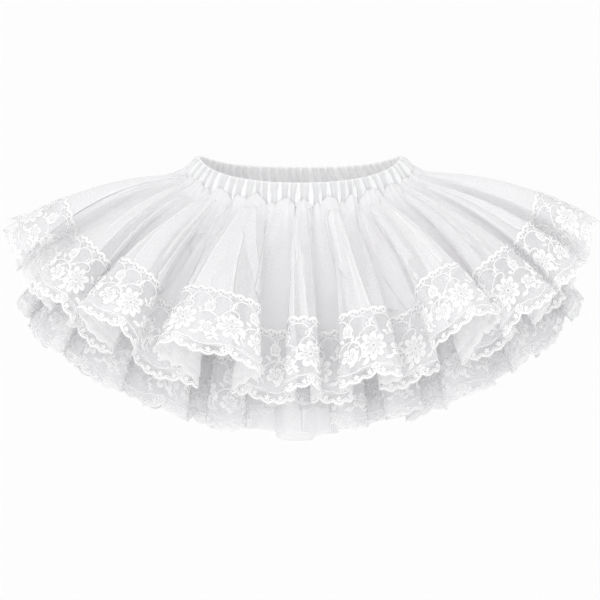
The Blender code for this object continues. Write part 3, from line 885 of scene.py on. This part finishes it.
# u, v, angle, length, width and bend of each leaf
laceLeaves = [
    (-20, 26, 25, 8, 4, 20), (-23, 21, 0, 9, 3.6, 25), (-12, 16.5, 20, 8, 3.4, 10),
    (-20, 40, 100, 7, 3.6, -20), (16, 20, 150, 7, 3.6, 30), (30, 22, 30, 7, 3.6, -30),
    (34, 36, 60, 6, 3.4, 30), (16, 44, 130, 6, 3.4, 20), (60, 36, 200, 6, 3.6, 25),
    (62, 27, 150, 6, 3.4, -20), (67, 41, 110, 7, 3.6, 30), (79, 41, 60, 7, 3.6, -30),
    (84, 24, 20, 6, 3.4, -20), (58, 19, 160, 8, 3.6, -20), (85, 18.5, 20, 8, 3.4, 20),
    (12, 19, 15, 8, 3.4, 20), (26, 17.5, -10, 7, 3.2, 30), (38, 18.5, 170, 7, 3.2, -20),
    (72, 17.5, 10, 7, 3.2, 20), (50, 57, 90, 5, 3, 0), (2, 57, 90, 5, 3, 0),
]


def arches(u, pitch):
    return 1 - np.abs(np.sin(math.pi * u / pitch))


def laceHem(u):
    return lace["bowlDepth"] * arches(u, lace["bowl"]) + lace["scallopDepth"] * arches(u, lace["scallop"])


def laceTop(u):
    return lace["width"] - lace["topDepth"] * arches(u, lace["scallop"])


def borderLine(u):
    height, bowls, sharpness, swags = lace["border"]
    between = arches(u + lace["swag"] / 2, lace["swag"])
    return height + bowls * arches(u, lace["bowl"]) ** sharpness + swags * between


def axes(angle):
    heading = np.array([math.cos(math.radians(angle)), math.sin(math.radians(angle))])
    return heading, np.array([-heading[1], heading[0]])


class FlatLace:
    # points hold u, v, height above the net and how solid the thread work is
    def __init__(self):
        self.points = []
        self.faces = []

    def grid(self, rows):
        faces = rowFaces(len(rows), len(rows[0]), len(self.points), False)
        self.faces += [face[1:] + face[:1] for face in faces]
        for row in rows:
            self.points.extend(row)

    def cord(self, line, width, height):
        line = np.asarray(line, float)
        ahead = np.gradient(line, axis=0)
        aside = unit(np.stack([-ahead[:, 1], ahead[:, 0]], axis=-1)) * width / 2
        self.grid([[(*(point - offset), 0, 1), (*point, height, 1), (*(point + offset), 0, 1)]
                   for point, offset in zip(line, aside)])

    def ring(self, u, v, radius, width, steps=10, height=0.35):
        angles = np.linspace(0, math.tau, steps + 1)
        self.cord(np.stack([u + radius * np.cos(angles), v + radius * np.sin(angles)], axis=-1),
                  width, height)

    def petal(self, u, v, angle, length, width, start, fill, lift):
        heading, aside = axes(angle)
        form = petalForm
        low, high, outside = form["rim"]
        rows = []
        for along in form["along"]:
            if along < form["widestAt"]:
                wide = mix(form["foot"], 1, float(smooth(along / form["widestAt"])))
            else:
                wide = math.sqrt(max(0, 1 - ((along - form["widestAt"]) / form["tip"]) ** 2))
            row = []
            for across in form["across"]:
                place = (np.array([u, v]) + heading * mix(start, length, along)
                         + aside * across * wide * width / 2)
                rim = abs(across) > outside or along > high or along < low
                edge = abs(across) > 0.9 or along in (0, 1)
                raised = 0 if edge else form["rimHigh"] if rim else form["middleHigh"]
                inside = fill * (form["footSolid"] if along < 0.5 else 1)
                row.append((*place, lift + raised, 1 if rim else inside))
            rows.append(row)
        self.grid(rows)

    def flower(self, u, v, turned, petals, length, width, eye, fill):
        for index in range(petals):
            uneven = 1 + petalForm["uneven"] * math.sin(2 * index + u)
            self.petal(u, v, turned + 360 * index / petals, length * uneven, width,
                       eye * petalForm["eyeCovers"], fill, petalForm["lap"] * (index % 2))
        self.ring(u, v, eye, *petalForm["eye"])

    def leaf(self, u, v, angle, length, width, bend=0):
        stretch, start = leafForm["span"]
        rows = []
        for along in np.linspace(0, 1, 5 if length > lace["tiny"] else 3):
            heading, aside = axes(angle + bend * along)
            wide = mix(leafForm["foot"], 1, math.sin(math.pi * min(1, along * stretch + start)))
            place = np.array([u, v]) + heading * along * length
            rows.append([(*(place + aside * across * wide * width / 2),
                          0 if across else leafForm["ridge"], leafForm["solid"])
                         for across in (-1, 0, 1)])
        self.grid(rows)


def curve(points, steps=5):
    # a smooth line through given points
    points = np.array([points[0], *points, points[-1]], float)
    t = (np.arange(steps) / steps)[:, None]
    line = [0.5 * (2 * b + (c - a) * t + (2 * a - 5 * b + 4 * c - d) * t * t
                   + (3 * b - a - 3 * c + d) * t ** 3)
            for a, b, c, d in zip(points, points[1:], points[2:], points[3:])]
    return np.concatenate([*line, points[-1:]])


def drawCords():
    flat = FlatLace()
    repeat = lace["repeat"]
    scallops = int(repeat / lace["scallop"])
    perScallop, perRepeat = lace["columns"]
    fine = np.linspace(0, repeat, scallops * perScallop + 1)
    coarse = np.linspace(0, repeat, perRepeat + 1)
    for u, edge, cord in ((fine, laceHem, "hemCord"), (fine, laceHem, "innerCord"),
                          (coarse, borderLine, "line"), (fine, laceTop, "topCord")):
        above, width, height = lace[cord]
        flat.cord(np.stack([u, edge(u) + above], axis=-1), width, height)
    inwards, radius, width = lace["ring"]
    for index in range(scallops):
        flat.ring(lace["scallop"] * (index + 0.5), lace["width"] - inwards, radius, width)
    swags = [[(lace["swag"] * index + u, v) for u, v in swagLine]
             for index in range(int(repeat / lace["swag"]))]
    for line in swags + laceStems:
        flat.cord(curve(line), *lace["stem"])
    return flat


def drawFlowers():
    flat = FlatLace()
    repeat = lace["repeat"]
    pitch = lace["picotPitch"]
    outwards, length, width = lace["picot"]
    for index in range(int(repeat / pitch)):  # picots past the hem
        u = pitch * (index + 0.5)
        flat.leaf(u, float(laceHem(np.array(u))) + outwards, -90, length, width)
    for index in range(int(repeat / lace["scallop"])):
        u = lace["scallop"] * (index + 0.5)
        inwards, length, width = lace["floret"]
        for petal in range(5):  # one tiny flower in each small scallop
            flat.leaf(u, float(laceHem(np.array(u))) + inwards, 90 + 72 * petal, length, width)
        inwards, length, width = lace["topLeaf"]
        for side, angle in ((-1, 35), (1, 145)):
            flat.leaf(u + side * lace["topLeafAside"], lace["width"] - inwards, angle, length, width)
    for index in range(int(repeat / lace["swag"])):
        flat.leaf(lace["swag"] * (index + 1), *lace["swagLeaf"])
    for row in laceFlowers:
        flat.flower(*row)
    for row in laceLeaves:
        flat.leaf(*row)
    return flat


def measureTrim(layer):
    # how far along the trim each turn is, measured a little below the trim's middle
    turn = np.linspace(0, layer["count"], layer["count"] * hang["finePlaces"] + 1)
    share = np.full(turn.shape, 1 - lace["measuredAt"] * mm / layer["length"])
    lengths = runningLength(layerPoint(layer, turn, share)[0])
    layer["trim"] = turn, lengths, round(lengths[-1] / mm / lace["repeat"])


def onTrim(layer, u, v, height):
    # u in mm runs over all the repeats; height in mm above the net
    turn, lengths, repeats = layer["trim"]
    whole = repeats * lace["repeat"]
    at = np.interp((u % whole) / whole * lengths[-1], lengths, turn)
    return onLayer(layer, at, 1 - v * mm / layer["length"], height * mm)[0]


def threadPiece(layer, name, flat):
    # the same drawing laid along the trim as often as it repeats
    repeats = layer["trim"][2]
    drawn = np.array(flat.points, float)
    u, v, height, solid = np.concatenate(
        [drawn + (lace["repeat"] * index, 0, 0, 0) for index in range(repeats)]).T
    faces = [tuple(index * len(drawn) + corner for corner in face)
             for index in range(repeats) for face in flat.faces]
    print(name, "has", len(faces), "faces")
    points = onTrim(layer, u, v, height + lace["threadProud"] / mm)
    return clothPiece(name, points, faces, "solid", solid, u * mm, v * mm,
                      repeats * lace["repeat"] * mm * 4)


def makeLace(layer, node, cord, ground):
    measureTrim(layer)
    repeats = layer["trim"][2]
    whole = repeats * lace["repeat"]
    columns = round(whole / lace["scallop"]) * lace["netColumns"]
    u = np.arange(columns) * whole / columns
    heights = [mix(laceTop(u), laceHem(u), share) for share in np.linspace(0, 1, lace["netRows"])]
    rows = [onTrim(layer, u, v, np.full(columns, lace["netProud"] / mm)) for v in heights]
    net = clothPiece(node + "_net", np.concatenate(rows), rowFaces(len(rows), columns), "close",
                     np.zeros(columns * len(rows)), np.tile(u, len(rows)) * mm,
                     np.concatenate(heights) * mm, whole * mm)
    dress(net, ground, node)
    threads = [threadPiece(layer, node + "_cords", drawCords()),
               threadPiece(layer, node + "_flowers", drawFlowers())]
    for thread in threads:
        dress(thread, cord, node)
    round(whole * mm, 3)
    layer["name"] + "_cloth"
    print(node, "made with", repeats, "repeats")


makeLace(outer, "outer_lace", outerCord, outerGround)
makeLace(under, "under_lace", underCordPaintedShade, underGroundPaintedShade)


# floor, light and camera
studio = {
    "floorLevel": -1.6, "floorReach": 300, "floorColour": (0.924, 0.921, 0.924, 1), "world": 0.99,
    "elevation": 11.5, "distance": 2, "lookAt": (0, 0, -0.118), "aimBelow": 0.0206,
    "lens": 116.5, "sensor": 36,
}
# what each lamp is set to, where it stands, and where it points
lamps = {
    ("key", "SUN"): ({"energy": 0.5, "angle": math.radians(45)}, (-0.4, -1.1, 0.62), (0, 0, 0)),
    ("fill", "AREA"): ({"energy": 5, "size": 1.6}, (0.2, -2.3, -0.85), (0, 0, -0.15)),
}


def makeFloor():
    bpy.ops.object.select_all(action="DESELECT")
    bpy.ops.mesh.primitive_plane_add(size=2 * studio["floorReach"],
                                     location=(0, 0, studio["floorLevel"]))
    floor = bpy.context.object
    floor.name = "floor"
    finish = Finish("floor_paper")
    floor.data.materials.append(finish.done(finish.node(
        "ShaderNodeBsdfPrincipled", {}, {"Base Color": studio["floorColour"], "Roughness": 0.9})))


def aimed(name, data, place, aim):
    holder = addObject(name, data)
    holder.location = place
    holder.rotation_euler = (Vector(aim) - Vector(place)).to_track_quat("-Z", "Y").to_euler()
    return holder


def makeLight():
    for (name, kind), (settings, place, aim) in lamps.items():
        lamp = bpy.data.lights.new(name, kind)
        for setting, value in settings.items():
            setattr(lamp, setting, value)
        aimed(name, lamp, place, aim)


def makeCamera():
    elevation = math.radians(studio["elevation"])
    target = Vector(studio["lookAt"])
    back = Vector((0, -math.cos(elevation), math.sin(elevation)))
    up = Vector((0, math.sin(elevation), math.cos(elevation)))
    lens = bpy.data.cameras.new("camera")
    lens.sensor_width = studio["sensor"]
    lens.lens = studio["lens"]
    bpy.context.scene.camera = aimed("camera", lens, target + back * studio["distance"],
                                     target - up * studio["aimBelow"])


makeFloor()
makeLight()
makeCamera()
world = bpy.data.worlds.new("studio")
world.use_nodes = True
white = world.node_tree.nodes["Background"]
white.inputs["Color"].default_value = (1, 1, 1, 1)
white.inputs["Strength"].default_value = studio["world"]
bpy.context.scene.world = world
bpy.context.scene.view_settings.view_transform = "Standard"
bpy.context.scene.cycles.transparent_max_bounces = 48
print("studio made")
